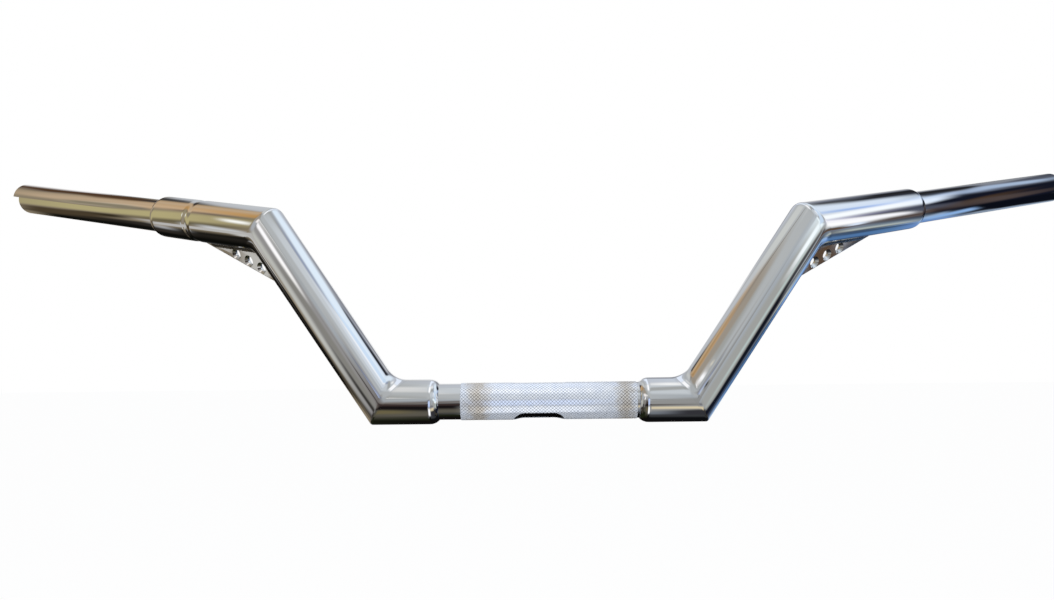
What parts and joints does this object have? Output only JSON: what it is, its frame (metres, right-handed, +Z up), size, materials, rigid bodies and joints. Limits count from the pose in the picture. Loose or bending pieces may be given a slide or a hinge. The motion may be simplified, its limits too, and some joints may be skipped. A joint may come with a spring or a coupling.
{
  "type": "motorcycle handlebar",
  "caption": "Chromed motorcycle handlebar of fat mitred tube with a knurled clamp tube, slim swept-back grip tubes and drilled gussets.",
  "frame": {"origin": "middle of the clamp tube, on its axis", "axes": "+X along the clamp tube towards the clutch side, +Y back towards the rider, +Z up in the plane of the two risers"},
  "size_m": [0.9443, 0.1957, 0.2084],
  "materials": {
    "polished_chrome": "mirror-polished chrome plate",
    "knurled_chrome": "chrome plate over a raised diamond knurl, satin to the eye",
    "gusset_chrome": "chrome plate over ground steel plate",
    "weld_chrome": "chrome plate over dressed and rippled weld"
  },
  "bodies": {
    "root": {"clamp_tube": "knurled_chrome", "clutch_clamp_weld": "weld_chrome", "clutch_grip_tube": "polished_chrome", "clutch_grip_weld": "weld_chrome", "clutch_gusset": "gusset_chrome", "clutch_gusset_weld": "weld_chrome", "clutch_lower_stub": "polished_chrome", "clutch_lower_weld": "weld_chrome", "clutch_riser": "polished_chrome", "clutch_upper_stub": "polished_chrome", "clutch_upper_weld": "weld_chrome", "throttle_clamp_weld": "weld_chrome", "throttle_grip_tube": "polished_chrome", "throttle_grip_weld": "weld_chrome", "throttle_gusset": "gusset_chrome", "throttle_gusset_weld": "weld_chrome", "throttle_lower_stub": "polished_chrome", "throttle_lower_weld": "weld_chrome", "throttle_riser": "polished_chrome", "throttle_upper_stub": "polished_chrome", "throttle_upper_weld": "weld_chrome"}
  },
  "joints": []
}
